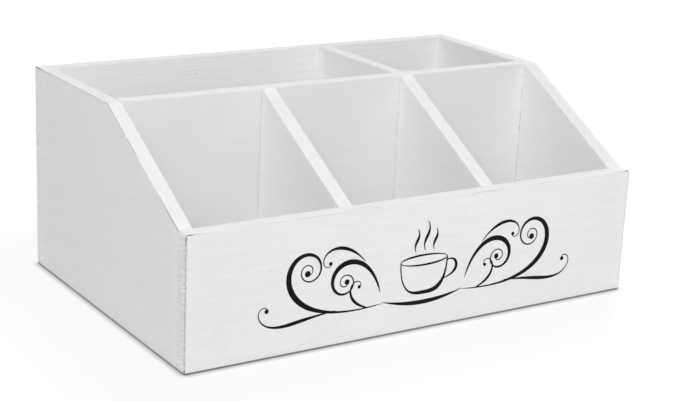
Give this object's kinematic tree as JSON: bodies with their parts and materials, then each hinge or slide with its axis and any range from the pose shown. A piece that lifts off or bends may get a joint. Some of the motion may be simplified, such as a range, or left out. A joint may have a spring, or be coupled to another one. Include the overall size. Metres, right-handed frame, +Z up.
{
  "type": "coffee station organizer",
  "caption": "White painted wooden countertop organizer box with slanted front compartments, a level rear section split by dividers, and a low front board.",
  "frame": {"origin": "on the surface that the box stands on, under the middle of the box", "axes": "+X to the right along the width, +Y to the back, +Z up"},
  "size_m": [0.32, 0.2108, 0.132],
  "materials": {
    "painted_wood": "white wash paint, matt",
    "nail_steel": "plain drawn wire",
    "wood_filler": "sanded flush and painted with the board",
    "ornament_paint": "thin matt black paint on the front board's face"
  },
  "bodies": {
    "root": {"front_panel": "painted_wood", "back_panel": "painted_wood", "left_side_panel": "painted_wood", "right_side_panel": "painted_wood", "bottom_panel": "painted_wood", "long_divider": "painted_wood", "rear_divider": "painted_wood", "front_divider_left": "painted_wood", "front_divider_right": "painted_wood", "front_panel_nails": "nail_steel", "back_panel_nails": "nail_steel", "left_side_panel_nails": "nail_steel", "right_side_panel_nails": "nail_steel", "long_divider_nails": "nail_steel", "front_panel_filler": "wood_filler", "back_panel_filler": "wood_filler", "left_side_panel_filler": "wood_filler", "right_side_panel_filler": "wood_filler", "long_divider_filler": "wood_filler"}
  },
  "joints": []
}
